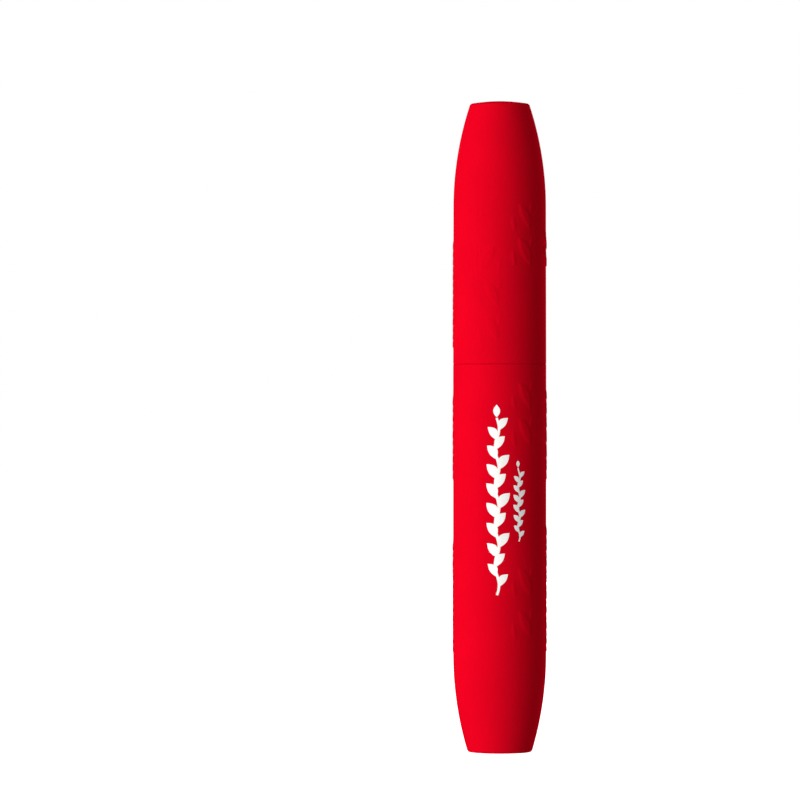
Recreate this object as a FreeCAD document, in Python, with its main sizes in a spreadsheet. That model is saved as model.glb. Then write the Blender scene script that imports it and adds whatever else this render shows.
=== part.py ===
import FreeCAD, Part
import math
import os

import Sketcher

# A mascara tube: a screw cap that carries a rod and a twisted-wire brush, and a base with an inner bottle,
# a threaded neck and a wiper. All pieces are round about Z. Z is up, the origin is the centre of the foot.
# Lengths are in millimetres.

V = FreeCAD.Vector

doc = FreeCAD.newDocument("mascara_tube")

# ---------------------------------------------------------------- driving dimensions

DIMENSIONS = [
    # outer shells
    ("outer_radius", 9.65),
    ("shell_bore", 8.2),
    ("foot_radius", 6.55),
    ("base_taper_height", 19.8),
    ("base_floor", 1.6),
    ("base_cavity_foot", 5.4),
    ("base_cavity_taper", 15.0),
    ("base_height", 78.94),
    ("seam_gap", 0.06),
    ("cap_taper_start", 111.0),
    ("cap_rim_height", 132.1),
    ("cap_rim_radius", 6.0),
    ("cap_crown", 0.5),
    ("cap_ceiling", 130.4),
    ("cap_ceiling_radius", 4.4),
    ("cap_cavity_taper", 108.5),
    ("boss_radius", 2.5),
    ("foot_round", 0.3),
    ("rim_round", 0.35),
    ("seam_round", 0.2),
    # bottle
    ("flange_radius", 8.65),
    ("flange_underside", 77.65),
    ("flange_top", 78.6),
    ("flange_clearance", 0.02),
    ("collar_radius", 8.0),
    ("collar_top", 79.4),
    ("bottle_radius", 8.05),
    ("bottle_wall", 1.15),
    ("bottle_bottom", 16.3),
    ("bottle_floor", 17.5),
    ("bottle_edge", 0.85),
    ("neck_radius", 5.6),
    ("neck_bore", 4.5),
    ("neck_height", 89.0),
    ("bottle_shoulder_low", 76.4),
    ("bottle_shoulder_high", 77.5),
    ("neck_root_round", 0.4),
    # screw thread of the neck and of the closure
    ("thread_pitch", 3.0),
    ("thread_turns", 1.25),
    ("thread_start", 81.3),
    ("thread_crest_half", 0.35),
    ("thread_root_half", 0.75),
    ("neck_thread_crest", 6.3),
    ("closure_thread_crest", 5.85),
    ("thread_bite", 0.2),
    # wiper
    ("wiper_flange_radius", 5.45),
    ("wiper_flange_thickness", 0.5),
    ("wiper_barrel_radius", 4.48),
    ("wiper_barrel_bore", 3.8),
    ("wiper_wall", 0.5),
    ("wiper_funnel_top", 80.0),
    ("wiper_barrel_end", 79.0),
    ("wiper_throat_top", 72.5),
    ("wiper_throat_end", 71.7),
    ("wiper_orifice", 2.32),
    ("wiper_lead_in", 0.25),
    # seal washer
    ("washer_bore", 2.45),
    ("washer_radius", 5.4),
    ("washer_thickness", 0.8),
    ("washer_clearance", 0.02),
    # closure in the cap
    ("closure_radius", 7.95),
    ("closure_bore", 6.5),
    ("closure_mouth", 79.6),
    ("closure_underside", 90.36),
    ("closure_deck", 91.6),
    ("rib_count", 16.0),
    ("rib_width", 0.8),
    ("rib_reach", 8.14),
    ("rib_base", 81.0),
    ("socket_radius", 4.2),
    ("socket_bore", 2.37),
    ("socket_end", 101.1),
    ("weight_seat", 102.3),
    ("weight_cup_radius", 6.2),
    ("weight_cup_bore", 5.4),
    ("weight_cup_top", 119.0),
    # weight
    ("weight_radius", 5.3),
    ("weight_length", 18.6),
    ("weight_clearance", 0.1),
    ("weight_edge", 0.4),
    # stem
    ("stem_head_radius", 2.35),
    ("stem_radius", 2.18),
    ("stem_top", 101.0),
    ("stem_taper_top", 79.0),
    ("stem_taper_end", 64.9),
    ("stem_shoulder", 49.6),
    ("stem_end", 45.15),
    ("stem_tip_radius", 1.9),
    ("stem_round", 0.5),
    ("wire_socket_top", 51.3),
    # brush
    ("wire_strand_radius", 0.31),
    ("wire_twist_radius", 0.33),
    ("wire_core_radius", 0.2),
    ("wire_pitch", 2.36),
    ("wire_top", 51.2),
    ("wire_tip", 24.1),
    ("wire_socket_bore", 0.68),
    ("bristle_bore", 0.67),
    ("bristle_thickness", 0.3),
    ("bristle_spacing", 1.18),
    ("bristle_top", 44.4),
    ("bristle_rows", 18.0),
]

sheet = doc.addObject("Spreadsheet::Sheet", "Sizes")
for row, (alias, amount) in enumerate(DIMENSIONS, start=1):
    sheet.set(f"A{row}", alias)
    sheet.set(f"B{row}", str(amount))
    sheet.setAlias(f"B{row}", alias)
doc.recompute()


class Size:
    """A length with its expression, so that a sketch starts at its solved shape and stays bound."""

    def __init__(self, amount, text):
        self.amount = amount
        self.text = text

    def __add__(self, other):
        other = as_size(other)
        return Size(self.amount + other.amount, f"({self.text} + {other.text})")

    def __sub__(self, other):
        other = as_size(other)
        return Size(self.amount - other.amount, f"({self.text} - {other.text})")

    def __mul__(self, other):
        other = as_size(other)
        return Size(self.amount * other.amount, f"({self.text} * {other.text})")

    def __truediv__(self, other):
        other = as_size(other)
        return Size(self.amount / other.amount, f"({self.text} / {other.text})")


def as_size(thing):
    return thing if isinstance(thing, Size) else Size(float(thing), repr(float(thing)))


SIZE = {alias: Size(amount, f"Sizes.{alias}") for alias, amount in DIMENSIONS}
MM = {alias: float(getattr(sheet, alias)) for alias, _ in DIMENSIONS}
AXIS = as_size(0.0)
GROUND = as_size(0.0)
NODES = []


# ---------------------------------------------------------------- building blocks


def new_body(name):
    """An empty body that becomes one sub-part and one STEP file."""
    body = doc.addObject("PartDesign::Body", name)
    body.Label = name
    NODES.append(body)
    return body


def origin_plane(body, role):
    return next(feature for feature in body.Origin.OriginFeatures if feature.Role == role)


def new_sketch(body, name, role):
    sketch = body.newObject("Sketcher::SketchObject", name)
    sketch.AttachmentSupport = [(origin_plane(body, role), "")]
    sketch.MapMode = "FlatFace"
    return sketch


def bind(sketch, index, name, size):
    sketch.renameConstraint(index, name)
    sketch.setExpression(f"Constraints.{name}", size.text)


def place_point(sketch, geometry, end, x, y, name):
    """Fixes one end of an edge at (x, y) with bound distances, or on an axis where a distance is zero."""
    if abs(x.amount) < 1e-9:
        sketch.addConstraint(Sketcher.Constraint("PointOnObject", geometry, end, -2))
    else:
        index = sketch.addConstraint(Sketcher.Constraint("DistanceX", -1, 1, geometry, end, x.amount))
        bind(sketch, index, name + "_x", x)
    if abs(y.amount) < 1e-9:
        sketch.addConstraint(Sketcher.Constraint("PointOnObject", geometry, end, -1))
    else:
        index = sketch.addConstraint(Sketcher.Constraint("DistanceY", -1, 1, geometry, end, y.amount))
        bind(sketch, index, name + "_y", y)


def arc_edge(start, end, radius, side):
    """The short arc from start to end. side is 1 where its centre lies left of the way there, else -1."""
    middle = (start + end) * 0.5
    chord = end - start
    rise = math.sqrt(max(radius * radius - chord.Length * chord.Length / 4, 0.0))
    normal = V(-chord.y, chord.x, 0).normalize()
    centre = middle + normal * (rise * side)
    crest = centre + (middle - centre).normalize() * radius
    return Part.Arc(start, crest, end)


def outline(sketch, corners):
    """Draws a closed outline of corners (x, y), or (x, y, radius, side) where an arc leads on."""
    count = len(corners)
    points = [V(corner[0].amount, corner[1].amount, 0) for corner in corners]
    edges = []
    for i, corner in enumerate(corners):
        start, end = points[i], points[(i + 1) % count]
        if len(corner) == 4:
            edge = arc_edge(start, end, corner[2].amount, corner[3])
            edges.append(sketch.addGeometry(edge, False))
        else:
            edges.append(sketch.addGeometry(Part.LineSegment(start, end), False))

    def ends(i):
        """The start and end vertex numbers of an edge. The sketcher stores every arc anticlockwise."""
        flipped = len(corners[i]) == 4 and corners[i][3] < 0
        return (2, 1) if flipped else (1, 2)

    for i in range(count):
        j = (i + 1) % count
        sketch.addConstraint(Sketcher.Constraint("Coincident", edges[i], ends(i)[1], edges[j], ends(j)[0]))
    for i, corner in enumerate(corners):
        place_point(sketch, edges[i], ends(i)[0], corner[0], corner[1], f"p{i}")
        if len(corner) == 4:
            index = sketch.addConstraint(Sketcher.Constraint("Radius", edges[i], corner[2].amount))
            bind(sketch, index, f"r{i}", corner[2])
    return sketch


def revolve(body, corners, cut=False):
    """Turns an outline in the XZ plane about Z, and adds it to the body or cuts it away."""
    number = len(body.Group)
    sketch = outline(new_sketch(body, f"{body.Label}_outline_{number}", "XZ_Plane"), corners)
    kind = "PartDesign::Groove" if cut else "PartDesign::Revolution"
    feature = body.newObject(kind, f"{body.Label}_turned_{number}")
    feature.Profile = sketch
    feature.ReferenceAxis = (sketch, ["V_Axis"])
    feature.Angle = 360
    doc.recompute()
    return feature


def add_helix(body, corners, pitch, height):
    """Sweeps an outline in the XZ plane along a right-hand helix about Z and fuses it to the body."""
    number = len(body.Group)
    sketch = outline(new_sketch(body, f"{body.Label}_ridge_{number}", "XZ_Plane"), corners)
    helix = body.newObject("PartDesign::AdditiveHelix", f"{body.Label}_helix_{number}")
    helix.Profile = sketch
    helix.ReferenceAxis = (sketch, ["V_Axis"])
    helix.Mode = 0
    helix.setExpression("Pitch", pitch.text)
    helix.setExpression("Height", height.text)
    helix.LeftHanded = False
    doc.recompute()
    return helix


def circle_edges(shape, radius, height):
    """Names of the round edges of that radius at that height."""
    names = []
    for number, edge in enumerate(shape.Edges, start=1):
        if edge.Degenerated or not isinstance(edge.Curve, Part.Circle):
            continue
        near_radius = abs(edge.Curve.Radius - radius) < 1e-3
        near_height = abs(edge.Curve.Center.z - height) < 1e-3
        if near_radius and near_height:
            names.append(f"Edge{number}")
    if not names:
        raise RuntimeError(f"no round edge of radius {radius} at height {height}")
    return names


def round_edges(body, feature, size, *rings):
    """Rounds the circular edges given as (radius, height)."""
    names = []
    for radius, height in rings:
        names += circle_edges(feature.Shape, radius.amount, height.amount)
    fillet = body.newObject("PartDesign::Fillet", f"{body.Label}_rounds_{len(body.Group)}")
    fillet.Base = (feature, names)
    fillet.setExpression("Radius", size.text)
    doc.recompute()
    return fillet


def tangent_radius(run, drop):
    """Radius of the arc that leaves a straight side without a kink and falls in by drop over run."""
    return (run * run + drop * drop) / (drop * 2)


# ---------------------------------------------------------------- base shell


def make_base_shell():
    """Closed outer shell of the base. A ledge inside its rim carries the bottle's flange."""
    body = new_body("base_shell")
    s = SIZE
    taper = tangent_radius(s["base_taper_height"], s["outer_radius"] - s["foot_radius"])
    seat = s["flange_radius"] + s["flange_clearance"]
    turned = revolve(body, [
        (AXIS, GROUND),
        (s["foot_radius"], GROUND, taper, 1),
        (s["outer_radius"], s["base_taper_height"]),
        (s["outer_radius"], s["base_height"]),
        (seat, s["base_height"]),
        (seat, s["flange_underside"]),
        (s["shell_bore"], s["flange_underside"]),
        (s["shell_bore"], s["base_cavity_taper"]),
        (s["base_cavity_foot"], s["base_floor"]),
        (AXIS, s["base_floor"]),
    ])
    foot = round_edges(body, turned, s["foot_round"], (s["foot_radius"], GROUND))
    round_edges(body, foot, s["seam_round"], (s["outer_radius"], s["base_height"]))


# ---------------------------------------------------------------- bottle


def thread_outline(root, crest, height):
    """A trapezoid ridge from root to crest, centred on a height."""
    s = SIZE
    return [
        (root, height - s["thread_root_half"]),
        (crest, height - s["thread_crest_half"]),
        (crest, height + s["thread_crest_half"]),
        (root, height + s["thread_root_half"]),
    ]


def make_bottle():
    """Inner bottle. It hangs by its flange in the base shell. A collar above the flange centres the cap,
    and the threaded neck stands out of the top."""
    body = new_body("bottle")
    s = SIZE
    inner = s["bottle_radius"] - s["bottle_wall"]
    turned = revolve(body, [
        (AXIS, s["bottle_bottom"]),
        (s["bottle_radius"] - s["bottle_edge"], s["bottle_bottom"], s["bottle_edge"], 1),
        (s["bottle_radius"], s["bottle_bottom"] + s["bottle_edge"]),
        (s["bottle_radius"], s["flange_underside"]),
        (s["flange_radius"], s["flange_underside"]),
        (s["flange_radius"], s["flange_top"]),
        (s["collar_radius"], s["flange_top"]),
        (s["collar_radius"], s["collar_top"]),
        (s["neck_radius"], s["collar_top"]),
        (s["neck_radius"], s["neck_height"]),
        (s["neck_bore"], s["neck_height"]),
        (s["neck_bore"], s["bottle_shoulder_high"]),
        (inner, s["bottle_shoulder_low"]),
        (inner, s["bottle_floor"] + s["bottle_edge"], s["bottle_edge"], -1),
        (inner - s["bottle_edge"], s["bottle_floor"]),
        (AXIS, s["bottle_floor"]),
    ])
    rounded = round_edges(body, turned, s["neck_root_round"], (s["neck_radius"], s["collar_top"]))
    before = rounded.Shape.Volume
    helix = add_helix(
        body,
        thread_outline(s["neck_radius"] - s["thread_bite"], s["neck_thread_crest"], s["thread_start"]),
        s["thread_pitch"],
        s["thread_pitch"] * s["thread_turns"],
    )
    expect_growth("neck thread", before, helix.Shape.Volume)


def expect_growth(what, before, after):
    if not after > before + 1.0:
        raise RuntimeError(f"the {what} added no material: {before:.2f} to {after:.2f}")


# ---------------------------------------------------------------- wiper


def make_wiper():
    """Soft funnel in the neck. Its flange lies on the neck's rim, and its orifice just clears the stem."""
    body = new_body("wiper")
    s = SIZE
    top = s["neck_height"] + s["wiper_flange_thickness"]
    throat = s["wiper_orifice"] + s["wiper_wall"]
    revolve(body, [
        (s["wiper_barrel_bore"] + s["wiper_lead_in"], top),
        (s["wiper_barrel_bore"], top - s["wiper_lead_in"]),
        (s["wiper_barrel_bore"], s["wiper_funnel_top"]),
        (s["wiper_orifice"], s["wiper_throat_top"]),
        (s["wiper_orifice"], s["wiper_throat_end"]),
        (throat, s["wiper_throat_end"]),
        (throat, s["wiper_throat_top"]),
        (s["wiper_barrel_radius"], s["wiper_barrel_end"]),
        (s["wiper_barrel_radius"], s["neck_height"]),
        (s["wiper_flange_radius"], s["neck_height"]),
        (s["wiper_flange_radius"], top),
    ])


# ---------------------------------------------------------------- seal washer


def make_seal_washer():
    """Soft ring round the stem. It lies on the wiper's flange."""
    s = SIZE
    low = s["neck_height"] + s["wiper_flange_thickness"] + s["washer_clearance"]
    disc = ring_tool("washer_disc", s["washer_radius"], s["washer_thickness"], low)
    hole = ring_tool("washer_hole", s["washer_bore"], s["washer_thickness"], low)
    washer = doc.addObject("Part::Cut", "seal_washer")
    washer.Base = disc
    washer.Tool = hole
    washer.Label = "seal_washer"
    NODES.append(washer)


def ring_tool(name, radius, height, low):
    """A cylinder about Z that starts at a height."""
    cylinder = doc.addObject("Part::Cylinder", name)
    cylinder.setExpression("Radius", radius.text)
    cylinder.setExpression("Height", height.text)
    cylinder.setExpression("Placement.Base.z", low.text)
    return cylinder


# ---------------------------------------------------------------- cap shell


def make_cap_shell():
    """Outer shell of the cap. A boss inside keeps the weight in its cup."""
    body = new_body("cap_shell")
    s = SIZE
    mouth = s["base_height"] + s["seam_gap"]
    top = s["cap_rim_height"] + s["cap_crown"]
    boss_end = s["weight_seat"] + s["weight_clearance"] + s["weight_length"] + s["weight_clearance"]
    run = s["cap_rim_height"] - s["cap_taper_start"]
    taper = tangent_radius(run, s["outer_radius"] - s["cap_rim_radius"])
    crown = tangent_radius(s["cap_rim_radius"], s["cap_crown"])
    cavity_run = s["cap_ceiling"] - s["cap_cavity_taper"]
    cavity = tangent_radius(cavity_run, s["shell_bore"] - s["cap_ceiling_radius"])
    turned = revolve(body, [
        (s["shell_bore"], mouth),
        (s["outer_radius"], mouth),
        (s["outer_radius"], s["cap_taper_start"], taper, 1),
        (s["cap_rim_radius"], s["cap_rim_height"], crown, 1),
        (AXIS, top),
        (AXIS, boss_end),
        (s["boss_radius"], boss_end),
        (s["boss_radius"], s["cap_ceiling"]),
        (s["cap_ceiling_radius"], s["cap_ceiling"], cavity, -1),
        (s["shell_bore"], s["cap_cavity_taper"]),
    ])
    rim = round_edges(body, turned, s["rim_round"], (s["cap_rim_radius"], s["cap_rim_height"]))
    round_edges(body, rim, s["seam_round"], (s["outer_radius"], mouth))


# ---------------------------------------------------------------- cap insert


def make_cap_insert():
    """Inner closure: a threaded skirt with ribs outside, a socket for the stem and a cup for the weight."""
    body = new_body("cap_insert")
    s = SIZE
    turned = revolve(body, [
        (s["closure_bore"], s["closure_mouth"]),
        (s["closure_radius"], s["closure_mouth"]),
        (s["closure_radius"], s["closure_deck"]),
        (s["socket_radius"], s["closure_deck"]),
        (s["socket_radius"], s["socket_end"]),
        (s["weight_cup_radius"], s["socket_end"]),
        (s["weight_cup_radius"], s["weight_cup_top"]),
        (s["weight_cup_bore"], s["weight_cup_top"]),
        (s["weight_cup_bore"], s["weight_seat"]),
        (AXIS, s["weight_seat"]),
        (AXIS, s["socket_end"]),
        (s["socket_bore"], s["socket_end"]),
        (s["socket_bore"], s["closure_underside"]),
        (s["closure_bore"], s["closure_underside"]),
    ])
    before = turned.Shape.Volume
    helix = add_helix(
        body,
        thread_outline(
            s["closure_bore"] + s["thread_bite"],
            s["closure_thread_crest"],
            s["thread_start"] + s["thread_pitch"] / 2,
        ),
        s["thread_pitch"],
        s["thread_pitch"] * s["thread_turns"],
    )
    expect_growth("closure thread", before, helix.Shape.Volume)
    before = helix.Shape.Volume
    ribs = add_ribs(body)
    expect_growth("ribs", before, ribs.Shape.Volume)


def add_ribs(body):
    """Upright ribs round the closure that bite into the cap shell."""
    s = SIZE
    sketch = new_sketch(body, "rib_outline", "XY_Plane")
    half = s["rib_width"] / 2
    low, high = s["closure_radius"] - s["thread_bite"], s["rib_reach"]
    corners = [V(low.amount, -half.amount, 0), V(high.amount, -half.amount, 0)]
    corners += [V(high.amount, half.amount, 0), V(low.amount, half.amount, 0)]
    for i in range(4):
        sketch.addGeometry(Part.LineSegment(corners[i], corners[(i + 1) % 4]), False)
    for i in range(4):
        sketch.addConstraint(Sketcher.Constraint("Coincident", i, 2, (i + 1) % 4, 1))
    sketch.addConstraint(Sketcher.Constraint("Horizontal", 0))
    sketch.addConstraint(Sketcher.Constraint("Horizontal", 2))
    sketch.addConstraint(Sketcher.Constraint("Vertical", 3))
    sketch.addConstraint(Sketcher.Constraint("Symmetric", 1, 1, 1, 2, -1))
    for name, edge, size in (("low", 3, low), ("high", 1, high)):
        index = sketch.addConstraint(Sketcher.Constraint("DistanceX", -1, 1, edge, 1, size.amount))
        bind(sketch, index, name, size)
    index = sketch.addConstraint(Sketcher.Constraint("DistanceY", 1, 1, 1, 2, half.amount * 2))
    bind(sketch, index, "width", s["rib_width"])
    sketch.setExpression("AttachmentOffset.Base.z", s["rib_base"].text)
    pad = body.newObject("PartDesign::Pad", "rib")
    pad.Profile = sketch
    pad.setExpression("Length", (s["closure_deck"] - s["rib_base"]).text)
    doc.recompute()
    pattern = body.newObject("PartDesign::PolarPattern", "ribs")
    pattern.Originals = [pad]
    pattern.Axis = (sketch, ["N_Axis"])
    pattern.Angle = 360
    pattern.setExpression("Occurrences", s["rib_count"].text)
    body.Tip = pattern
    doc.recompute()
    return pattern


# ---------------------------------------------------------------- cap weight


def make_cap_weight():
    """Plain steel slug that lies loose in the closure's cup."""
    s = SIZE
    low = s["weight_seat"] + s["weight_clearance"]
    slug = ring_tool("weight_slug", s["weight_radius"], s["weight_length"], low)
    doc.recompute()
    weight = doc.addObject("Part::Chamfer", "cap_weight")
    weight.Base = slug
    edge = MM["weight_edge"]
    rims = [n for n, e in enumerate(slug.Shape.Edges, start=1) if isinstance(e.Curve, Part.Circle)]
    weight.Edges = [(number, edge, edge) for number in rims]
    weight.Label = "cap_weight"
    NODES.append(weight)


# ---------------------------------------------------------------- stem


def make_stem():
    """Rod between the closure and the brush, slightly tapered, with a blind hole for the wire."""
    body = new_body("stem")
    s = SIZE
    shoulder_run = s["stem_shoulder"] - s["stem_end"]
    shoulder_round = tangent_radius(shoulder_run, s["stem_radius"] - s["stem_tip_radius"])
    turned = revolve(body, [
        (AXIS, s["stem_top"]),
        (AXIS, s["wire_socket_top"]),
        (s["wire_socket_bore"], s["wire_socket_top"]),
        (s["wire_socket_bore"], s["stem_end"]),
        (s["stem_tip_radius"], s["stem_end"], shoulder_round, 1),
        (s["stem_radius"], s["stem_shoulder"]),
        (s["stem_radius"], s["stem_taper_end"]),
        (s["stem_head_radius"], s["stem_taper_top"]),
        (s["stem_head_radius"], s["stem_top"]),
    ])
    round_edges(body, turned, s["stem_round"], (s["stem_tip_radius"], s["stem_end"]))


# ---------------------------------------------------------------- brush


def make_brush_wire():
    """Two wire strands twisted together, one core with two helical strands fused to it."""
    body = new_body("brush_wire")
    s = SIZE
    core = revolve(body, [
        (AXIS, s["wire_tip"]),
        (s["wire_core_radius"], s["wire_tip"]),
        (s["wire_core_radius"], s["wire_top"]),
        (AXIS, s["wire_top"]),
    ])
    low = s["wire_tip"] + s["wire_strand_radius"]
    height = s["wire_top"] - s["wire_strand_radius"] - low
    before = core.Shape.Volume
    sketch = new_sketch(body, "strand_section", "XZ_Plane")
    centre = V(MM["wire_twist_radius"], low.amount, 0)
    sketch.addGeometry(Part.Circle(centre, V(0, 0, 1), MM["wire_strand_radius"]), False)
    place_point(sketch, 0, 3, s["wire_twist_radius"], low, "centre")
    index = sketch.addConstraint(Sketcher.Constraint("Radius", 0, MM["wire_strand_radius"]))
    bind(sketch, index, "strand", s["wire_strand_radius"])
    helix = body.newObject("PartDesign::AdditiveHelix", "strand")
    helix.Profile = sketch
    helix.ReferenceAxis = (sketch, ["V_Axis"])
    helix.Mode = 0
    helix.setExpression("Pitch", s["wire_pitch"].text)
    helix.setExpression("Height", height.text)
    doc.recompute()
    pattern = body.newObject("PartDesign::PolarPattern", "strands")
    pattern.Originals = [helix]
    pattern.Axis = (sketch, ["V_Axis"])
    pattern.Angle = 360
    pattern.Occurrences = 2
    body.Tip = pattern
    doc.recompute()
    expect_growth("wire strands", before, pattern.Shape.Volume)


BRISTLE_OUTLINE = [
    # height above the foot, reach of the fibres
    (44.5, 2.6),
    (43.2, 3.55),
    (41.2, 3.35),
    (38.8, 3.22),
    (36.2, 3.06),
    (34.0, 3.37),
    (31.3, 3.8),
    (29.8, 3.35),
    (27.8, 2.88),
    (25.7, 2.16),
    (23.9, 1.6),
]


def bristle_reach(height):
    """Reach of the fibres at a height, between the points of their outline."""
    for (high, wide), (low, narrow) in zip(BRISTLE_OUTLINE, BRISTLE_OUTLINE[1:]):
        if low <= height <= high:
            share = (high - height) / (high - low)
            return wide + (narrow - wide) * share
    raise RuntimeError(f"no bristles at height {height}")


def make_bristles():
    """Rows of fibres round the wire, one for each half turn of it. Each row is a thin disc with a hole."""
    rows = []
    for row in range(int(MM["bristle_rows"])):
        height = MM["bristle_top"] - row * MM["bristle_spacing"]
        low = V(0, 0, height - MM["bristle_thickness"] / 2)
        disc = Part.makeCylinder(bristle_reach(height), MM["bristle_thickness"], low)
        rows.append(disc.cut(Part.makeCylinder(MM["bristle_bore"], MM["bristle_thickness"], low)))
    bristles = doc.addObject("Part::Feature", "bristles")
    bristles.Shape = Part.makeCompound([row.Solids[0] for row in rows])
    bristles.Label = "bristles"
    NODES.append(bristles)


# ---------------------------------------------------------------- assembly and files


def check_and_write():
    doc.recompute()
    for thing in doc.Objects:
        if "Invalid" in thing.State or "Error" in thing.State:
            raise RuntimeError(f"{thing.Name} failed: {thing.State}")
    for node in NODES:
        if node.Shape.isNull() or not node.Shape.isValid():
            raise RuntimeError(f"{node.Label} has no valid shape")
    os.makedirs("parts", exist_ok=True)
    for node in NODES:
        node.Shape.exportStep(f"parts/{node.Label}.step")
        box = node.Shape.BoundBox
        print(
            f"{node.Label:12s} solids {len(node.Shape.Solids):3d}  volume {node.Shape.Volume:9.2f}  "
            f"z {box.ZMin:7.2f} to {box.ZMax:7.2f}  reach {box.XMax:5.2f}"
        )


make_base_shell()
make_bottle()
make_wiper()
make_seal_washer()
make_cap_shell()
make_cap_insert()
make_cap_weight()
make_stem()
make_brush_wire()
make_bristles()
check_and_write()
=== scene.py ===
import math
import random

import bpy
import numpy as np
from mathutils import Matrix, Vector


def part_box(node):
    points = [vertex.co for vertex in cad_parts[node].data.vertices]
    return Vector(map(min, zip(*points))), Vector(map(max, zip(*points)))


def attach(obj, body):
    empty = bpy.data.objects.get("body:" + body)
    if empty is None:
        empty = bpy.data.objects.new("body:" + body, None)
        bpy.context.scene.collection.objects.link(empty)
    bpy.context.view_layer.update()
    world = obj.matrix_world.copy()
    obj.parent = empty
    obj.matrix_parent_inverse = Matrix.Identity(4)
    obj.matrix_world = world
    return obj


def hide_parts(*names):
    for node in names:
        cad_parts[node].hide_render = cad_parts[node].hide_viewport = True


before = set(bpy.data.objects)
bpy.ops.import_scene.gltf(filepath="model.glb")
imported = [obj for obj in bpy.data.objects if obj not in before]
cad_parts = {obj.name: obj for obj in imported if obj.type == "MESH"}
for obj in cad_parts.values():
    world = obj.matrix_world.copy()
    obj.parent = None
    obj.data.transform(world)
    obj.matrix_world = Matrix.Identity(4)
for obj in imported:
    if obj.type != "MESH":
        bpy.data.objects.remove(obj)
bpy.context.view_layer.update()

# The looks of a mascara tube around its CAD frame. The tube's lengths are in millimetres until mesh_object()
# turns them into metres. The stage is in metres. Heights are above the foot. Azimuths go from the front, -Y,
# towards +X. They are in degrees in the tables and in radians in the functions.

MM = 0.001
RANDOM = random.Random(7)

# ---------------------------------------------------------------- sizes read from the frame


def reach_mm(node):
    """Largest distance of a node from the axis."""
    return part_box(node)[1].x / MM


def span_mm(node):
    low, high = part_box(node)
    return low.z / MM, high.z / MM


RELIEF = 0.15
RELIEF_MARGIN = 0.01
SKIN = reach_mm("base_shell") - RELIEF - RELIEF_MARGIN
CAP_LOW, CAP_HIGH = span_mm("cap_shell")
STEM_LOW, STEM_HIGH = span_mm("stem")
STEM_REACH = reach_mm("stem")
WIRE_LOW, WIRE_HIGH = span_mm("brush_wire")
BOTTLE_TOP = span_mm("bottle")[1]

# Sizes of the frame that no box tells
BASE_TAPER = 19.8
FOOT_RADIUS = 6.55
FOOT_ROUND = 0.3
BASE_FLOOR = 1.6
BASE_CAVITY_FOOT = 5.4
BASE_CAVITY_TAPER = 15.0
SHELL_BORE = 8.2
FLANGE_SEAT_RADIUS = 8.67
FLANGE_SEAT = 77.65
CAP_TAPER = 111.0
CAP_RIM = 132.1
CAP_RIM_RADIUS = 6.0
CAP_RIM_ROUND = 0.35
CAP_RIM_SWELL = 0.02
CAP_DRAFT = 0.06
CAP_CEILING = 130.4
CAP_CEILING_RADIUS = 4.4
CAP_CAVITY_TAPER = 108.5
CAP_BOSS_RADIUS = 2.5
CAP_BOSS_END = 121.1
SEAM_ROUND = 0.15
SEAM_GAP = 0.02
SEAT_ROUND = 0.12
# Height of one row of faces on the two skins
BASE_ROW = 0.25
CAP_ROW = 0.2

# ---------------------------------------------------------------- mesh helpers


def mesh_object(name, points, faces, smooth=True):
    """A mesh object from points in millimetres."""
    mesh = bpy.data.meshes.new(name)
    mesh.from_pydata((np.asarray(points, float) * MM).tolist(), [], faces)
    mesh.validate()
    mesh.update()
    mesh.polygons.foreach_set("use_smooth", [smooth] * len(mesh.polygons))
    thing = bpy.data.objects.new(name, mesh)
    bpy.context.scene.collection.objects.link(thing)
    return thing


def around(radius, azimuth):
    """x and y at an azimuth in radians, measured from the front towards +X."""
    return radius * np.sin(azimuth), -radius * np.cos(azimuth)


def arc_points(centre, radius, start, end, count):
    """Points (r, z) on an arc of the profile. Angles are in degrees from the +r direction towards +z."""
    angles = np.radians(np.linspace(start, end, count))
    return [(centre[0] + radius * math.cos(a), centre[1] + radius * math.sin(a)) for a in angles]


def lathe(name, profile, segments, relief=None):
    """Turns a profile of (r, z) points about the axis. It starts and ends on the axis, or closes on itself.
    relief(azimuths, height, radius) is the extra radius of the points that have True in the third place."""
    on_axis = profile[0][0] < 1e-6
    azimuths = np.linspace(-math.pi, math.pi, segments, endpoint=False)
    points, rings = [], []
    for row in profile:
        radius, height = row[0], row[1]
        if radius < 1e-6:
            rings.append([len(points)])
            points.append((0.0, 0.0, height))
            continue
        radii = np.full(segments, radius)
        if relief is not None and len(row) > 2 and row[2]:
            radii = radii + relief(azimuths, height, radius)
        x, y = around(radii, azimuths)
        rings.append(list(range(len(points), len(points) + segments)))
        points.extend(zip(x.tolist(), y.tolist(), [height] * segments))
    faces = []
    pairs = list(zip(rings, rings[1:]))
    if not on_axis:
        pairs.append((rings[-1], rings[0]))
    for lower, upper in pairs:
        for i in range(segments):
            j = (i + 1) % segments
            if len(lower) == 1:
                faces.append((lower[0], upper[j], upper[i]))
            elif len(upper) == 1:
                faces.append((lower[i], lower[j], upper[0]))
            else:
                faces.append((lower[i], lower[j], upper[j], upper[i]))
    return mesh_object(name, points, faces)


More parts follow.
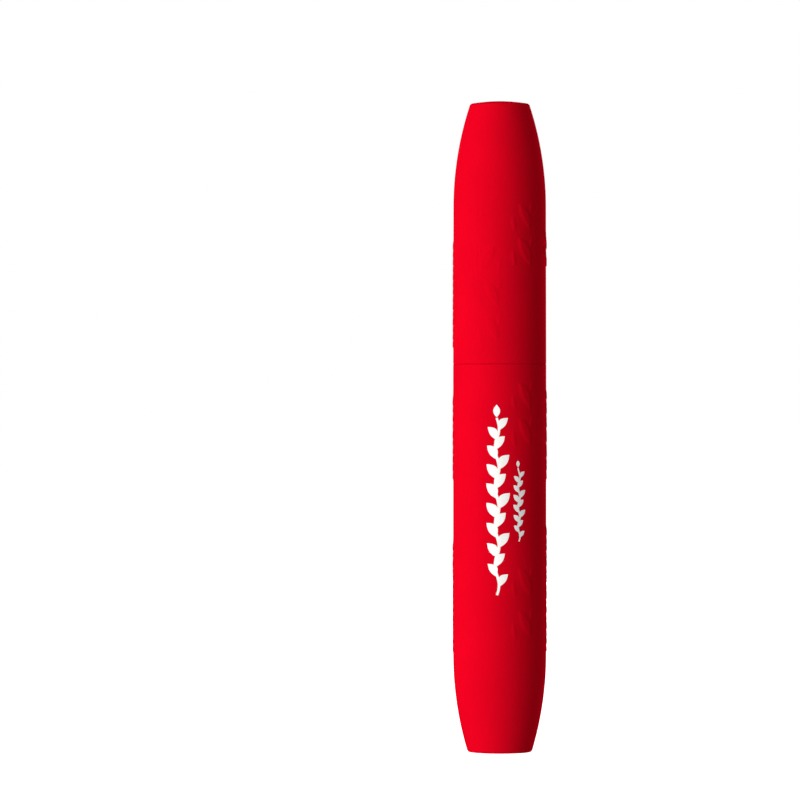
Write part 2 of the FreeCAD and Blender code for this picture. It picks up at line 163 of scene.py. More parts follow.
def tube(path, radii, sides):
    """Points and faces of a closed tube along a path of points, with a radius at each."""
    path = np.asarray(path, float)
    radii = np.asarray(radii, float)
    tangents = np.gradient(path, axis=0)
    tangents /= np.linalg.norm(tangents, axis=1)[:, None]
    side = np.cross(tangents[0], (0.0, 0.0, 1.0))
    if np.linalg.norm(side) < 1e-3:
        side = np.cross(tangents[0], (1.0, 0.0, 0.0))
    side /= np.linalg.norm(side)
    angles = np.linspace(0, 2 * math.pi, sides, endpoint=False)
    points = []
    for centre, tangent, radius in zip(path, tangents, radii):
        side = side - tangent * np.dot(side, tangent)
        side /= np.linalg.norm(side)
        other = np.cross(tangent, side)
        ring = centre + radius * (np.outer(np.cos(angles), side) + np.outer(np.sin(angles), other))
        points.extend(ring.tolist())
    faces = []
    for k in range(len(path) - 1):
        for i in range(sides):
            j = (i + 1) % sides
            faces.append((k * sides + i, k * sides + j, (k + 1) * sides + j, (k + 1) * sides + i))
    last = (len(path) - 1) * sides
    faces.append(tuple(reversed(range(sides))))
    faces.append(tuple(range(last, last + sides)))
    return points, faces


# ---------------------------------------------------------------- raised motifs


# Shape of a raised leaf: how blunt its ends are, and its rib's groove, with depth and length as shares
LEAF_BLUNT = 2.2
RIB_DEPTH = 0.25
RIB_WIDTH = 0.14
RIB_SHARE = 0.8
# How far past half its length a leaf can reach, up the tube and round it
MARGIN_UP = 1.2
MARGIN_ROUND = 1.5


def leaf_height(along, across, length, half_width, bend, edge):
    """Height from 0 to 1 of a leaf whose middle rib follows a shallow bow, in the leaf's own frame."""
    way = np.abs(2 * along / length)
    across = across - bend * (1 - way ** 2)
    width = half_width * np.clip(1 - way ** LEAF_BLUNT, 0, None)
    rise = np.clip((width - np.abs(across)) / edge, 0, 1)
    rise = rise * rise * (3 - 2 * rise)
    rib = RIB_DEPTH * np.exp(-((across / RIB_WIDTH) ** 2)) * np.clip(1 - way / RIB_SHARE, 0, 1)
    return rise * (1 - rib)


# Motifs: the pitch of one sprig, the width of its soft edge, and its leaves as
# (across, along, turn, length, half width, bend)
BROAD = (7.0, 0.95, (
    (0.35, 0.1, 27.0, 6.9, 1.5, 0.35),
    (-1.95, -1.2, 8.0, 3.9, 0.75, -0.15),
    (1.95, 2.0, -12.0, 3.1, 0.65, 0.1),
))
TWIG = (3.1, 0.32, (
    (1.15, 0.1, -46.0, 3.7, 0.74, 0.14),
    (-1.15, 1.65, 46.0, 3.7, 0.74, -0.14),
    (0.0, 0.8, 0.0, 5.0, 0.2, 0.0),
))

# Columns of sprigs: (azimuth, low end, high end, motif, share of the full relief)
CAP_COLUMNS = (
    (-90, 81.9, 103.3, TWIG, 1.0),
    (-14, 82.6, 103.6, BROAD, 0.5),
    (29, 98.0, 112.2, BROAD, 1.0),
    (84, 98.3, 105.3, TWIG, 1.0),
    (132, 82.6, 110.6, BROAD, 1.0),
    (178, 96.4, 110.4, BROAD, 1.0),
    (-134, 84.6, 98.6, BROAD, 1.0),
)
BASE_COLUMNS = (
    (-90, 55.0, 71.8, TWIG, 1.0),
    (-90, 19.8, 42.0, TWIG, 1.0),
    (29, 61.6, 76.0, BROAD, 0.9),
    (29, 22.0, 39.0, BROAD, 0.8),
    (90, 55.3, 72.7, TWIG, 1.0),
    (90, 19.8, 45.1, TWIG, 1.0),
    (140, 36.0, 64.0, BROAD, 1.0),
    (-140, 23.0, 51.0, BROAD, 1.0),
    (184, 48.0, 76.0, BROAD, 1.0),
    (184, 18.0, 32.0, BROAD, 1.0),
)


def sprigs_of(columns):
    """Every leaf of every column: (azimuth, shift round the skin, height, turn, length, half width, bend,
    edge, share). Azimuth and turn are in radians. Every third broad sprig is mirrored."""
    leaves = []
    for azimuth, low, high, (pitch, edge, motif), share in columns:
        count = max(1, round((high - low) / pitch))
        step = (high - low) / count
        for k in range(count):
            middle = low + (k + 0.5) * step
            flip = -1 if k % 3 == 2 and motif is BROAD[2] else 1
            for across, along, turn, length, half_width, bend in motif:
                scale = 0.9 + 0.2 * RANDOM.random()
                leaves.append((
                    math.radians(azimuth),
                    across * flip,
                    middle + along,
                    math.radians(turn * flip),
                    length * scale,
                    half_width * scale,
                    bend * flip,
                    edge,
                    share,
                ))
    return leaves


def relief_of(columns):
    """A function of azimuth and height that gives the raised motifs' extra radius."""
    leaves = sprigs_of(columns)

    def relief(azimuths, height, radius):
        total = np.zeros(len(azimuths))
        for azimuth, shift, middle, turn, length, half_width, bend, edge, share in leaves:
            rise = height - middle
            if abs(rise) > length / 2 + MARGIN_UP:
                continue
            arc = (azimuths - azimuth + math.pi) % (2 * math.pi) - math.pi
            arc = arc * radius - shift
            near = np.abs(arc) < length / 2 + MARGIN_ROUND
            along = rise * math.cos(turn) - arc[near] * math.sin(turn)
            across = rise * math.sin(turn) + arc[near] * math.cos(turn)
            shape = share * leaf_height(along, across, length, half_width, bend, edge)
            total[near] = np.maximum(total[near], shape)
        return total * RELIEF

    return relief


# ---------------------------------------------------------------- shells


def tapered(height, radius, start, end, end_radius):
    """Radius at a height of a round wall that leaves the upright at start and falls in on one large arc."""
    run, drop = abs(end - start), radius - end_radius
    big = (run * run + drop * drop) / (2 * drop)
    way = abs(height - start)
    return radius - (big - math.sqrt(big * big - way * way))


def base_skin(height):
    """Radius of the base's skin at a height."""
    return tapered(height, SKIN, BASE_TAPER, 0.0, FOOT_RADIUS) if height < BASE_TAPER else SKIN


def cap_skin(height):
    """Radius of the cap's skin at a height. It narrows a little towards the taper, as moulded caps do."""
    narrow = SKIN - CAP_DRAFT
    if height > CAP_TAPER:
        return tapered(height, narrow, CAP_TAPER, CAP_RIM, CAP_RIM_RADIUS)
    return SKIN - CAP_DRAFT * (height - CAP_LOW) / (CAP_TAPER - CAP_LOW)


def base_profile():
    """Closed profile of the base shell, from the middle of the foot round to the middle of its floor."""
    rows = [(0.0, 0.0)]
    rows += arc_points((FOOT_RADIUS - FOOT_ROUND, FOOT_ROUND), FOOT_ROUND, -90, -16, 8)
    rim = CAP_LOW - SEAM_GAP
    top = rim - SEAM_ROUND
    for height in np.linspace(FOOT_ROUND, top, int((top - FOOT_ROUND) / BASE_ROW)):
        rows.append((base_skin(height), height, True))
    rows += arc_points((SKIN - SEAM_ROUND, top), SEAM_ROUND, 15, 90, 6)
    rows += arc_points((FLANGE_SEAT_RADIUS + SEAT_ROUND, rim - SEAT_ROUND), SEAT_ROUND, 90, 180, 4)
    rows += [(FLANGE_SEAT_RADIUS, FLANGE_SEAT), (SHELL_BORE, FLANGE_SEAT), (SHELL_BORE, BASE_CAVITY_TAPER)]
    rows += [(BASE_CAVITY_FOOT, BASE_FLOOR), (0.0, BASE_FLOOR)]
    return rows


def cap_profile():
    """Closed profile of the cap shell: from the boss down the bore, round the mouth and up to the crown."""
    rows = [(0.0, CAP_BOSS_END), (CAP_BOSS_RADIUS, CAP_BOSS_END), (CAP_BOSS_RADIUS, CAP_CEILING)]
    for height in np.linspace(CAP_CEILING, CAP_CAVITY_TAPER, 10):
        bore = tapered(height, SHELL_BORE, CAP_CAVITY_TAPER, CAP_CEILING, CAP_CEILING_RADIUS)
        rows.append((bore, height))
    bottom = CAP_LOW + SEAM_ROUND
    rows += arc_points((SHELL_BORE + SEAM_ROUND, bottom), SEAM_ROUND, 180, 270, 4)
    rows += arc_points((SKIN - SEAM_ROUND, bottom), SEAM_ROUND, -90, -15, 6)
    top = CAP_RIM - CAP_ROW
    for height in np.linspace(bottom, top, int((top - bottom) / CAP_ROW)):
        rows.append((cap_skin(height), height, True))
    rim = CAP_RIM_RADIUS - CAP_RIM_ROUND
    rows += arc_points((rim, CAP_RIM - CAP_RIM_ROUND + CAP_RIM_SWELL), CAP_RIM_ROUND, 18, 82, 7)
    crown = CAP_HIGH - CAP_RIM
    for share in (0.8, 0.55, 0.3):
        rows.append((rim * share, CAP_RIM + crown * (1 - share * share)))
    rows.append((0.0, CAP_HIGH))
    return rows


# ---------------------------------------------------------------- materials


def new_material(name):
    material = bpy.data.materials.new(name)
    material.use_nodes = True
    nodes = material.node_tree.nodes
    shader = next(n for n in nodes if n.type == "BSDF_PRINCIPLED")
    return material, nodes, material.node_tree.links, shader


def noise(nodes, links, scale, detail=2.0, stretch=(1, 1, 1)):
    """A noise texture on the object's own coordinates. scale is in waves per metre."""
    place = nodes.new("ShaderNodeTexCoord")
    mapping = nodes.new("ShaderNodeMapping")
    mapping.inputs["Scale"].default_value = stretch
    texture = nodes.new("ShaderNodeTexNoise")
    texture.inputs["Scale"].default_value = scale
    texture.inputs["Detail"].default_value = detail
    links.new(place.outputs["Object"], mapping.inputs["Vector"])
    links.new(mapping.outputs["Vector"], texture.inputs["Vector"])
    return texture.outputs["Fac"]


# The range where the values of a noise mostly lie
NOISE_LOW, NOISE_HIGH = 0.3, 0.7


def ramp(nodes, links, value, low, high):
    """A colour between two others, by a noise's value."""
    scale = nodes.new("ShaderNodeValToRGB")
    scale.color_ramp.elements[0].position = NOISE_LOW
    scale.color_ramp.elements[0].color = (*low, 1)
    scale.color_ramp.elements[1].position = NOISE_HIGH
    scale.color_ramp.elements[1].color = (*high, 1)
    links.new(value, scale.inputs["Fac"])
    return scale.outputs["Color"]


def spread(nodes, links, value, low, high):
    """A number from low to high, by a noise's value."""
    span = nodes.new("ShaderNodeMapRange")
    span.inputs["From Min"].default_value = NOISE_LOW
    span.inputs["From Max"].default_value = NOISE_HIGH
    span.inputs["To Min"].default_value = low
    span.inputs["To Max"].default_value = high
    links.new(value, span.inputs["Value"])
    return span.outputs["Result"]


def add_bump(nodes, links, shader, value, height_mm, strength):
    bump = nodes.new("ShaderNodeBump")
    bump.inputs["Strength"].default_value = strength
    bump.inputs["Distance"].default_value = height_mm * MM
    links.new(value, bump.inputs["Height"])
    links.new(bump.outputs["Normal"], shader.inputs["Normal"])


def uneven(name, texture, colours, rough, **sockets):
    """A material whose colour and roughness wander between two values, by one noise: its scale, detail and
    stretch. sockets are other inputs of its shader, with _ for each space."""
    material, nodes, links, shader = new_material(name)
    cloud = noise(nodes, links, *texture)
    links.new(ramp(nodes, links, cloud, *colours), shader.inputs["Base Color"])
    links.new(spread(nodes, links, cloud, *rough), shader.inputs["Roughness"])
    for socket, value in sockets.items():
        shader.inputs[socket.replace("_", " ")].default_value = value
    return material, nodes, links, shader


def soft_touch_red():
    """Matte rubbery coating: deep red, very fine grain, slight unevenness, and no gloss."""
    colours = (0.60, 0.0006, 0.0105), (0.64, 0.0008, 0.0115)
    made = uneven("soft_touch_red", (90, 3), colours, (0.38, 0.46), Specular_IOR_Level=0.0)
    material, nodes, links, shader = made
    add_bump(nodes, links, shader, noise(nodes, links, 9000, 1), 0.006, 0.35)
    return material


def gloss_black(name, low, high, rough_low, rough_high):
    """Polished black plastic with a faint haze."""
    haze = (400, 3, (1, 1, 0.25))
    return uneven(name, haze, (low, high), (rough_low, rough_high), Specular_IOR_Level=0.28)[0]


def fibre_black():
    """Black nylon fibres, slightly uneven."""
    colours = (0.003, 0.003, 0.0035), (0.008, 0.008, 0.009)
    return uneven("fibre_black", (1500, 2), colours, (0.38, 0.5), Specular_IOR_Level=0.3)[0]


def coated_wire():
    """Steel wire dulled by a black coating."""
    colours = (0.004, 0.004, 0.005), (0.012, 0.012, 0.013)
    return uneven("coated_wire", (2500, 3), colours, (0.45, 0.6), Specular_IOR_Level=0.3)[0]


def milky_plastic(name, low, high):
    """Soft milky plastic that lets some light in."""
    depth = (0.001, 0.001, 0.0009)
    made = uneven(
        name, (500, 2), (low, high), (0.38, 0.5), Subsurface_Weight=0.25, Subsurface_Radius=depth
    )
    return made[0]


def turned_steel():
    """Turned slug with fine tool marks round it."""
    colours = (0.5, 0.5, 0.52), (0.62, 0.62, 0.64)
    return uneven("turned_steel", (900, 2, (0.05, 0.05, 6)), colours, (0.28, 0.42), Metallic=1.0)[0]


def print_white():
    """Screen-printed ink, slightly uneven."""
    colours = (0.9, 0.88, 0.85), (0.97, 0.95, 0.93)
    return uneven("print_white", (3000, 2), colours, (0.4, 0.55), Specular_IOR_Level=0.3)[0]


def give(thing, material):
    thing.data.materials.clear()
    thing.data.materials.append(material)


def dress(node, material):
    """Puts a material in each of a CAD node's slots."""
    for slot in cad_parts[node].material_slots:
        slot.link = "OBJECT"
        slot.material = material


# ---------------------------------------------------------------- print on the base

INK_THICKNESS = 0.02
INK_LIFT = 0.012
# The vines: height of one piece of the line, leaves in one wave of it, and how far they lean out
VINE_STEP = 0.35
LEAVES_PER_WAVE = 4
LEAF_LEAN = math.radians(34)


def leaf_patch(u, z, turn, length, half_width, bend):
    """A leaf as a strip of quads on the unrolled skin: points (u, z) and faces."""
    steps, lanes = 14, 5
    points, faces = [], []
    cos, sin = math.cos(turn), math.sin(turn)
    for i in range(steps + 1):
        share = -1 + 2 * i / steps
        width = half_width * max(1 - abs(share) ** 1.9, 0.012)
        bow = bend * (1 - share * share)
        for k in range(lanes):
            across = bow + width * (-1 + 2 * k / (lanes - 1))
            along = share * length / 2
            points.append((u + across * cos + along * sin, z - across * sin + along * cos))
    for i in range(steps):
        for k in range(lanes - 1):
            a = i * lanes + k
            faces.append((a, a + 1, a + 1 + lanes, a + lanes))
    return points, faces


def ribbon_patch(line, widths):
    """A narrow ribbon on the unrolled skin along a line of (u, z) points."""
    line = np.asarray(line, float)
    tangent = np.gradient(line, axis=0)
    tangent /= np.linalg.norm(tangent, axis=1)[:, None]
    normal = np.stack([tangent[:, 1], -tangent[:, 0]], axis=1)
    points, faces = [], []
    for centre, side, width in zip(line, normal, widths):
        points.append(tuple(centre - side * width / 2))
        points.append(tuple(centre + side * width / 2))
    for i in range(len(line) - 1):
        faces.append((2 * i, 2 * i + 1, 2 * i + 3, 2 * i + 2))
    return points, faces


def vine(low, high, sway, wave, line_width, leaf_length, leaf_half, leaf_reach):
    """Patches of a climbing vine: a wavy line with leaves to both sides and a bud on top."""
    bud = leaf_length * 0.8
    top = high - bud * 0.75
    heights = np.linspace(low, top, int((top - low) / VINE_STEP))
    line = [(sway * math.sin(2 * math.pi * (z - low) / wave), z) for z in heights]
    widths = line_width * (0.55 + 0.45 * np.sin(np.linspace(0.25, math.pi - 0.15, len(line))) ** 0.5)
    patches = [ribbon_patch(line, widths)]
    count = int((top - low) / (wave / LEAVES_PER_WAVE))
    for k in range(1, count):
        z = low + k * wave / LEAVES_PER_WAVE
        u = sway * math.sin(2 * math.pi * (z - low) / wave)
        side = 1 if k % 2 else -1
        swell = 0.85 + 0.3 * math.sin(math.pi * k / count)
        reach = line_width / 2 + 0.1 + leaf_reach * swell
        patches.append(leaf_patch(
            u + side * reach, z + 0.35 * leaf_length * swell, side * LEAF_LEAN,
            leaf_length * swell, leaf_half * swell, -side * 0.12 * leaf_length,
        ))
    u = line[-1][0]
    patches.append(leaf_patch(u, top + bud / 2 + 0.12, 0.0, bud, leaf_half * 0.8, 0.0))
    return patches


def wrap_print(name, patches, azimuth):
    """Lays patches on the base's skin round an azimuth and gives them the ink's thickness."""
    points, faces = [], []
    radius = SKIN + INK_LIFT
    for flat, quads in patches:
        start = len(points)
        for u, z in flat:
            x, y = around(radius, math.radians(azimuth) + u / radius)
            points.append((x, y, z))
        faces += [tuple(start + i for i in quad) for quad in quads]
    thing = mesh_object(name, points, faces, smooth=False)
    solid = thing.modifiers.new("ink", "SOLIDIFY")
    solid.thickness = INK_THICKNESS * MM
    solid.offset = 0.0
    return thing


# ---------------------------------------------------------------- applicator

# Reach of the fibres down the brush: (height, reach)
BRUSH_OUTLINE = (
    (45.0, 1.8),
    (44.5, 2.3),
    (44.2, 3.05),
    (43.4, 3.72),
    (42.2, 3.6),
    (41.0, 3.42),
    (38.8, 3.34),
    (36.2, 3.2),
    (34.2, 3.42),
    (32.6, 3.72),
    (31.2, 3.92),
    (30.2, 3.65),
    (29.0, 3.25),
    (27.8, 3.0),
    (26.8, 2.62),
    (25.7, 2.26),
    (24.6, 1.85),
    (23.8, 1.6),
)
# Reach of the short fibres that thicken the core: (height, reach)
CORE_OUTLINE = (
    (45.1, 1.5),
    (44.2, 1.26),
    (42.0, 0.94),
    (37.0, 0.82),
    (34.2, 0.88),
    (32.8, 1.03),
    (28.0, 1.02),
    (24.9, 0.94),
    (24.2, 0.8),
)
BRUSH_LOW, BRUSH_HIGH = 24.35, 44.85
CLUMPS_PER_TURN = 12
CLUMP_FIBRES = 5
LONE_FIBRES = 150
CORE_FIBRES = 2100
# Whorls of fibres that close the brush at both ends: (height, reach, tilt)
END_WHORLS = (
    (44.95, 1.75, -0.1),
    (24.4, 1.62, -0.12),
)
# Radius of a fibre at its root and at its end
LEAD_FIBRE = (0.095, 0.042)
FINE_FIBRE = (0.05, 0.024)
CORE_FIBRE = (0.075, 0.045)
FIBRE_SIDES, CORE_SIDES, CORE_STEPS = 5, 4, 3
# Distance from the axis at which fibres start
FIBRE_ROOT, CORE_ROOT = 0.3, 0.35
WHORL_CLUMPS = 8
WHORL_FIBRES = 2
CORE_LOW, CORE_HIGH = BRUSH_LOW - 0.1, BRUSH_HIGH + 0.2
# How much the clumps wander from an even helix: azimuth and tilt
CLUMP_TURN_SPREAD, CLUMP_LEAN_SPREAD = 0.2, 0.04
# How much fibres differ in a clump: height, azimuth, share of the reach, tilt, bow and swirl
FIBRE_SPREAD = (0.05, 0.11, 0.055, 0.07, 0.09, 0.09)
# How much the short fibres differ: share of the reach, tilt and swirl
CORE_SPREAD = (0.17, 0.2, 0.3)
TWIST_PITCH = 2.36
TWIST_STEPS = 22
FOLD_STEPS = 14
STRAND_SIDES = 10
STRAND_RADIUS = 0.3
TWIST_RADIUS = 0.32
TIP_MARGIN = 0.02


def reach_at(outline, height):
    """Reach at a height, between the rows of an outline that runs down the brush."""
    heights = [row[0] for row in reversed(outline)]
    reaches = [row[1] for row in reversed(outline)]
    return float(np.interp(height, heights, reaches))


def twist_azimuth(height):
    """Azimuth of the twisted pair's first strand at a height."""
    return 2 * math.pi * (height - WIRE_LOW) / TWIST_PITCH


def make_wire():
    """One wire folded at the tip and twisted into a right-hand pair."""
    low = WIRE_LOW + STRAND_RADIUS + TWIST_RADIUS + TIP_MARGIN
    heights = np.arange(WIRE_HIGH, low, -TWIST_PITCH / TWIST_STEPS)
    down = []
    for height in heights:
        turn = twist_azimuth(height)
        down.append((TWIST_RADIUS * math.cos(turn), TWIST_RADIUS * math.sin(turn), height))
    end = twist_azimuth(heights[-1])
    fold = []
    for turn in np.linspace(0, math.pi, FOLD_STEPS)[1:-1]:
        out = TWIST_RADIUS * math.cos(turn)
        fold.append((out * math.cos(end), out * math.sin(end), heights[-1] - TWIST_RADIUS * math.sin(turn)))
    up = [(-x, -y, z) for x, y, z in reversed(down)]
    path = down + fold + up
    points, faces = tube(path, [STRAND_RADIUS] * len(path), STRAND_SIDES)
    return mesh_object("wire_twisted_pair", points, faces)


def fibre_path(height, azimuth, root, reach, tilt, bow, swirl, steps=6):
    """Centre line of a fibre that leaves the wire sideways."""
    path = []
    for share in np.linspace(0, 1, steps):
        radius = root + (reach - root) * share
        angle = azimuth + swirl * share * share
        z = height + tilt * (radius - root) + bow * share * share
        path.append((radius * math.cos(angle), radius * math.sin(angle), z))
    return path


def make_bristles():
    """Fibres caught between the strands in small clumps that fan out. The clumps follow the twist, so their
    ends stand in a double helix. Lone fibres stand between them, and short ones fill in round the wire."""
    points, faces = [], []
    place, turn, loss, slant, bow, swirl = FIBRE_SPREAD
    core_loss, core_slant, core_swirl = CORE_SPREAD

    def add(path, radii, sides):
        """One fibre along a path, whose radius runs from the first of radii to the second."""
        more, quads = tube(path, np.linspace(*radii, len(path)), sides)
        start = len(points)
        points.extend(more)
        faces.extend(tuple(start + i for i in quad) for quad in quads)

    def add_clump(middle, azimuth, reach, lean, count):
        """Fibres that leave the wire near one place. The first of several is the thickest."""
        for number in range(count):
            path = fibre_path(
                middle + RANDOM.gauss(0, place), azimuth + RANDOM.gauss(0, turn),
                FIBRE_ROOT, reach * (1 - abs(RANDOM.gauss(0, loss))),
                lean + RANDOM.gauss(0, slant), RANDOM.gauss(0, bow), RANDOM.gauss(0, swirl),
            )
            add(path, FINE_FIBRE if number or count == 1 else LEAD_FIBRE, FIBRE_SIDES)

    step = TWIST_PITCH / CLUMPS_PER_TURN
    for k in range(int((BRUSH_HIGH - BRUSH_LOW) / step) + 1):
        middle = BRUSH_HIGH - k * step
        azimuth = twist_azimuth(middle) + RANDOM.gauss(0, CLUMP_TURN_SPREAD)
        lean = RANDOM.gauss(0, CLUMP_LEAN_SPREAD)
        for side in (0, math.pi):
            add_clump(middle, azimuth + side, reach_at(BRUSH_OUTLINE, middle), lean, CLUMP_FIBRES)
    for middle, reach, tilt in END_WHORLS:
        for k in range(WHORL_CLUMPS):
            add_clump(middle, 2 * math.pi * k / WHORL_CLUMPS, reach, tilt, WHORL_FIBRES)
    for _ in range(LONE_FIBRES):
        height = RANDOM.uniform(BRUSH_LOW, BRUSH_HIGH)
        add_clump(height, RANDOM.uniform(0, 2 * math.pi), reach_at(BRUSH_OUTLINE, height), 0.0, 1)
    for _ in range(CORE_FIBRES):
        height = RANDOM.uniform(CORE_LOW, CORE_HIGH)
        azimuth = RANDOM.uniform(0, 2 * math.pi)
        reach = reach_at(CORE_OUTLINE, height) * (1 - abs(RANDOM.gauss(0, core_loss)))
        tilt = RANDOM.gauss(0, core_slant)
        curl = RANDOM.gauss(0, core_swirl)
        path = fibre_path(height, azimuth, CORE_ROOT, reach, tilt, 0.0, curl, CORE_STEPS)
        add(path, CORE_FIBRE, CORE_SIDES)
    return mesh_object("bristle_fibres", points, faces)


def stem_profile():
    """The stem's closed profile, with its blind wire hole and a rounded shoulder over the brush."""
    shoulder, end_radius, edge = 49.6, 1.9, 0.5
    straight, taper_end, taper_top = 2.18, 64.9, 79.0
    hole_radius, hole_top = 0.68, 51.3
    rows = [(0.0, hole_top), (hole_radius, hole_top), (hole_radius, STEM_LOW)]
    rows += arc_points((end_radius - edge, STEM_LOW + edge), edge, -90, -8, 8)
    for height in np.linspace(STEM_LOW + edge, shoulder, 10):
        rows.append((tapered(height, straight, shoulder, STEM_LOW, end_radius), height))
    rows += [(straight, (shoulder + taper_end) / 2), (straight, taper_end)]
    rows += [(STEM_REACH, taper_top), (STEM_REACH, STEM_HIGH), (0.0, STEM_HIGH)]
    return rows


# ---------------------------------------------------------------- bottle

NECK_RADIUS = 5.6
NECK_BORE = 4.5
THREAD_START = 81.3
THREAD_AZIMUTH = math.pi / 2
THREAD_PITCH = 3.0
THREAD_TURNS = 1.25
THREAD_CREST_HALF = 0.35
THREAD_ROOT_HALF = 0.75
THREAD_RISE = 0.7
THREAD_RUN_OUT = 0.09
THREAD_ROW = 0.09
THREAD_MARGIN = 1.0


def neck_thread(azimuths, height, radius):
    """Extra radius of the neck's right-hand thread, whose ends run out into the neck."""
    turns = ((azimuths - THREAD_AZIMUTH) / (2 * math.pi)) % 1.0
    total = np.zeros(len(azimuths))
    for whole in (0, 1):
        along = turns + whole
        way = np.abs(height - THREAD_START - THREAD_PITCH * along)
        ridge = np.clip((THREAD_ROOT_HALF - way) / (THREAD_ROOT_HALF - THREAD_CREST_HALF), 0, 1)
        ends = np.clip(np.minimum(along, THREAD_TURNS - along) / THREAD_RUN_OUT, 0, 1)
        total = np.maximum(total, ridge * ends * (2 - ends))
    return THREAD_RISE * total


def bottle_profile():
    """The bottle's closed profile: up its outside, over flange, collar and neck, and down its bore."""
    outer, inner, edge = 8.05, 6.9, 0.85
    bottom, floor = 16.3, 17.5
    shoulder_low, shoulder_high = 76.4, 77.5
    underside, flange, flange_top, flange_edge = FLANGE_SEAT, 8.65, 78.6, 0.08
    collar, collar_top, collar_edge = 8.0, 79.4, 0.15
    root, rim = 0.4, 0.2
    rows = [(0.0, bottom)]
    rows += arc_points((outer - edge, bottom + edge), edge, -90, 0, 7)
    rows += [(outer, underside), (flange, underside)]
    rows += [(flange, flange_top - flange_edge), (flange - flange_edge, flange_top)]
    rows += [(collar, flange_top), (collar, collar_top - collar_edge)]
    rows += arc_points((collar - collar_edge, collar_top - collar_edge), collar_edge, 20, 90, 4)
    rows += arc_points((NECK_RADIUS + root, collar_top + root), root, -90, -180, 6)
    thread_end = THREAD_START + THREAD_PITCH * THREAD_TURNS
    for height in np.arange(THREAD_START - THREAD_MARGIN, thread_end + THREAD_MARGIN, THREAD_ROW):
        rows.append((NECK_RADIUS, height, True))
    rows += [(NECK_RADIUS, BOTTLE_TOP - rim)]
    rows += arc_points((NECK_RADIUS - rim, BOTTLE_TOP - rim), rim, 15, 90, 5)
    rows += [(NECK_BORE, BOTTLE_TOP), (NECK_BORE, shoulder_high), (inner, shoulder_low)]
    rows += arc_points((inner - edge, floor + edge), edge, 0, -90, 6)
    rows += [(0.0, floor)]
    return rows


# ---------------------------------------------------------------- stage


# Upright panels round the tube, which light it softly: (name, azimuth, distance, width, height, watts)
PANELS = (
    ("key_left", -30, 1.1, 0.45, 1.2, 6.2),
    ("fill_left", -42, 1.2, 0.2, 0.9, 1.3),
    ("side_left", -54, 0.8, 0.45, 1.0, 3.5),
    ("far_left", -78, 0.8, 0.45, 1.0, 2.5),
    ("edge_left", -118, 0.8, 0.5, 1.0, 0.6),
    ("rim_left", -128, 1.0, 0.15, 0.9, 0.5),
    ("back", 165, 0.9, 0.6, 1.0, 5.5),
    ("rim_right", 128, 1.0, 0.15, 0.9, 0.5),
    ("edge_right", 140, 0.8, 0.35, 1.0, 3.6),
)
# Tall strips that only gloss shows, in front of the panels
STRIPS = (
    ("strip_left", -42, 1.15, 0.02, 2.6, 3.76),
    ("strip_rim_left", -128, 0.9, 0.13, 2.6, 1.25),
    ("strip_rim_right", 128, 0.9, 0.13, 2.6, 1.25),
)
LIGHT_HEIGHT = 0.066
TOP_PLACE, TOP_SIZE, TOP_WATTS = (-0.2, -0.1, 1.25), 0.7, 2.4
GLOW_STRENGTH = 0.24
WHITE = (1, 1, 1, 1)
FLOOR_HALF = 4.0


def make_panel(name, width, height, power, place):
    """A soft rectangular panel at a place, facing the tube, which lights it and doesn't show in gloss."""
    data = bpy.data.lights.new(name, "AREA")
    data.shape = "RECTANGLE"
    data.size = width
    data.size_y = height
    data.energy = power
    lamp = bpy.data.objects.new(name, data)
    lamp.location = place
    lamp.rotation_mode = "QUATERNION"
    lamp.rotation_quaternion = (Vector((0, 0, LIGHT_HEIGHT)) - Vector(place)).to_track_quat("-Z", "Y")
    lamp.visible_glossy = False
    bpy.context.scene.collection.objects.link(lamp)
    return lamp


def make_lights():
    for name, azimuth, distance, *size in PANELS:
        make_panel(name, *size, (*around(distance, math.radians(azimuth)), LIGHT_HEIGHT))
    make_panel("top", TOP_SIZE, TOP_SIZE, TOP_WATTS, TOP_PLACE)
    for name, azimuth, distance, *size in STRIPS:
        strip = make_panel(name, *size, (*around(distance, math.radians(azimuth)), LIGHT_HEIGHT))
        strip.visible_glossy = True
        strip.visible_diffuse = False


def make_world():
    """White for the camera, and a dim even glow for the object."""
    world = bpy.data.worlds.new("studio")
    bpy.context.scene.world = world
    world.use_nodes = True
    nodes, links = world.node_tree.nodes, world.node_tree.links
    nodes.clear()
    output = nodes.new("ShaderNodeOutputWorld")
    mix = nodes.new("ShaderNodeMixShader")
    path = nodes.new("ShaderNodeLightPath")
    glow = nodes.new("ShaderNodeBackground")
    seen = nodes.new("ShaderNodeBackground")
    for light, strength in ((glow, GLOW_STRENGTH), (seen, 1.0)):
        light.inputs["Color"].default_value = WHITE
        light.inputs["Strength"].default_value = strength
    links.new(path.outputs["Is Camera Ray"], mix.inputs["Fac"])
    links.new(glow.outputs["Background"], mix.inputs[1])
    links.new(seen.outputs["Background"], mix.inputs[2])
    links.new(mix.outputs["Shader"], output.inputs["Surface"])


def make_floor():
    """A large pale floor that throws no light back at the object."""
    half = FLOOR_HALF / MM
    corners = [(-half, -half, 0), (half, -half, 0), (half, half, 0), (-half, half, 0)]
    floor = mesh_object("floor", corners, [(0, 1, 2, 3)], smooth=False)
    material, _, _, shader = new_material("floor_white")
    shader.inputs["Base Color"].default_value = (0.9, 0.9, 0.9, 1)
    shader.inputs["Roughness"].default_value = 0.9
    shader.inputs["Specular IOR Level"].default_value = 0.0
    shader.inputs["Emission Color"].default_value = WHITE
    shader.inputs["Emission Strength"].default_value = 0.93
    give(floor, material)
    floor.visible_diffuse = False
    floor.visible_glossy = False
    floor.visible_shadow = False


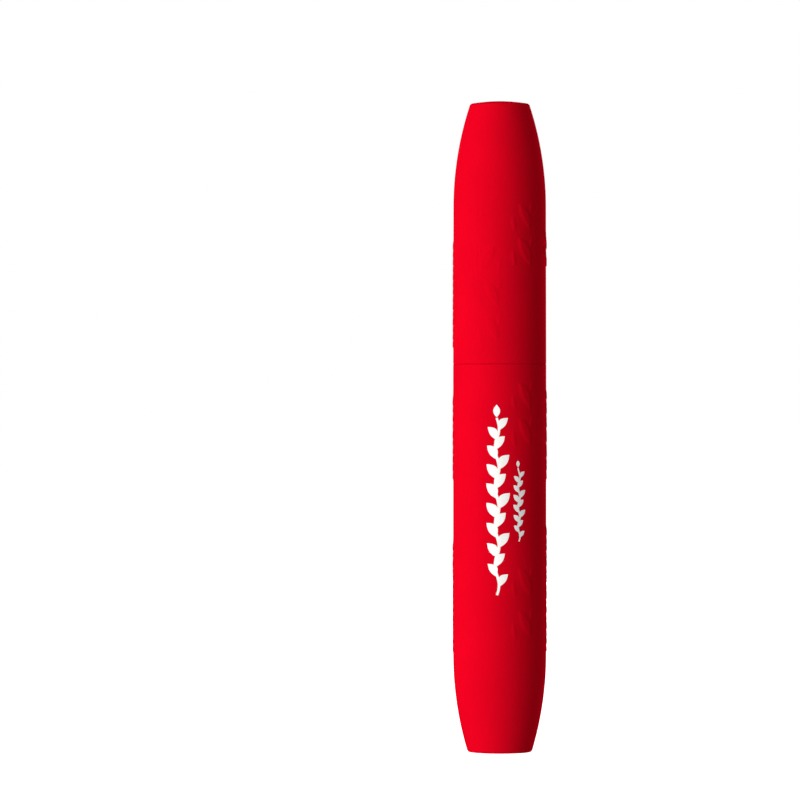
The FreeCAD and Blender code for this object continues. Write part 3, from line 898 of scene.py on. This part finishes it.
def make_camera():
    """Level camera a little over half-way up, with a long lens. The tube stands right of the middle.
    frame_height is what the picture holds at the tube's distance."""
    data = bpy.data.cameras.new("camera")
    aside, distance, height = -0.02034, 0.95, 0.0717
    frame_height = 0.1632
    data.sensor_width = 36.0
    data.lens = data.sensor_width * distance / frame_height
    data.clip_start = 0.01
    data.clip_end = 20.0
    camera = bpy.data.objects.new("camera", data)
    camera.location = (aside, -distance, height)
    camera.rotation_euler = (math.radians(90), 0, 0)
    bpy.context.scene.collection.objects.link(camera)
    bpy.context.scene.camera = camera


# ---------------------------------------------------------------- assembly

scene = bpy.context.scene
scene.view_settings.view_transform = "Standard"
scene.view_settings.look = "None"

red = soft_touch_red()
white = print_white()
black_stem = gloss_black("black_stem", (0.0028, 0.0028, 0.003), (0.0042, 0.0042, 0.0046), 0.11, 0.15)
black_closure = gloss_black("black_closure", (0.008, 0.008, 0.009), (0.013, 0.013, 0.014), 0.3, 0.42)
black_bottle = gloss_black("black_bottle", (0.009, 0.009, 0.0098), (0.014, 0.014, 0.015), 0.18, 0.25)

cap = lathe("cap_shell_embossed", cap_profile(), segments=330, relief=relief_of(CAP_COLUMNS))
give(cap, red)
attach(cap, "cap")
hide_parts("cap_shell")

base = lathe("base_shell_embossed", base_profile(), segments=288, relief=relief_of(BASE_COLUMNS))
give(base, red)
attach(base, "base")
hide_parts("base_shell")

for name, azimuth, patches in (
    ("print_vine_large", -4.5, vine(32.3, 70.0, 0.4, 7.9, 0.62, 3.2, 0.88, 0.66)),
    ("print_vine_small", 23.0, vine(43.1, 59.0, 0.22, 4.0, 0.36, 1.65, 0.46, 0.34)),
):
    ink = wrap_print(name, patches, azimuth)
    give(ink, white)
    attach(ink, "base")

stem = lathe("stem_rod", stem_profile(), segments=96)
give(stem, black_stem)
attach(stem, "cap")
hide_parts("stem")

wire = make_wire()
give(wire, coated_wire())
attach(wire, "cap")
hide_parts("brush_wire")

fibres = make_bristles()
give(fibres, fibre_black())
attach(fibres, "cap")
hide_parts("bristles")

bottle = lathe("bottle_necked", bottle_profile(), segments=192, relief=neck_thread)
give(bottle, black_bottle)
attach(bottle, "base")
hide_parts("bottle")

dress("cap_insert", black_closure)
dress("cap_weight", turned_steel())
dress("wiper", milky_plastic("wiper_natural", (0.74, 0.74, 0.71), (0.82, 0.82, 0.79)))
dress("seal_washer", milky_plastic("washer_foam", (0.66, 0.66, 0.64), (0.76, 0.76, 0.74)))

make_world()
make_floor()
make_camera()
make_lights()
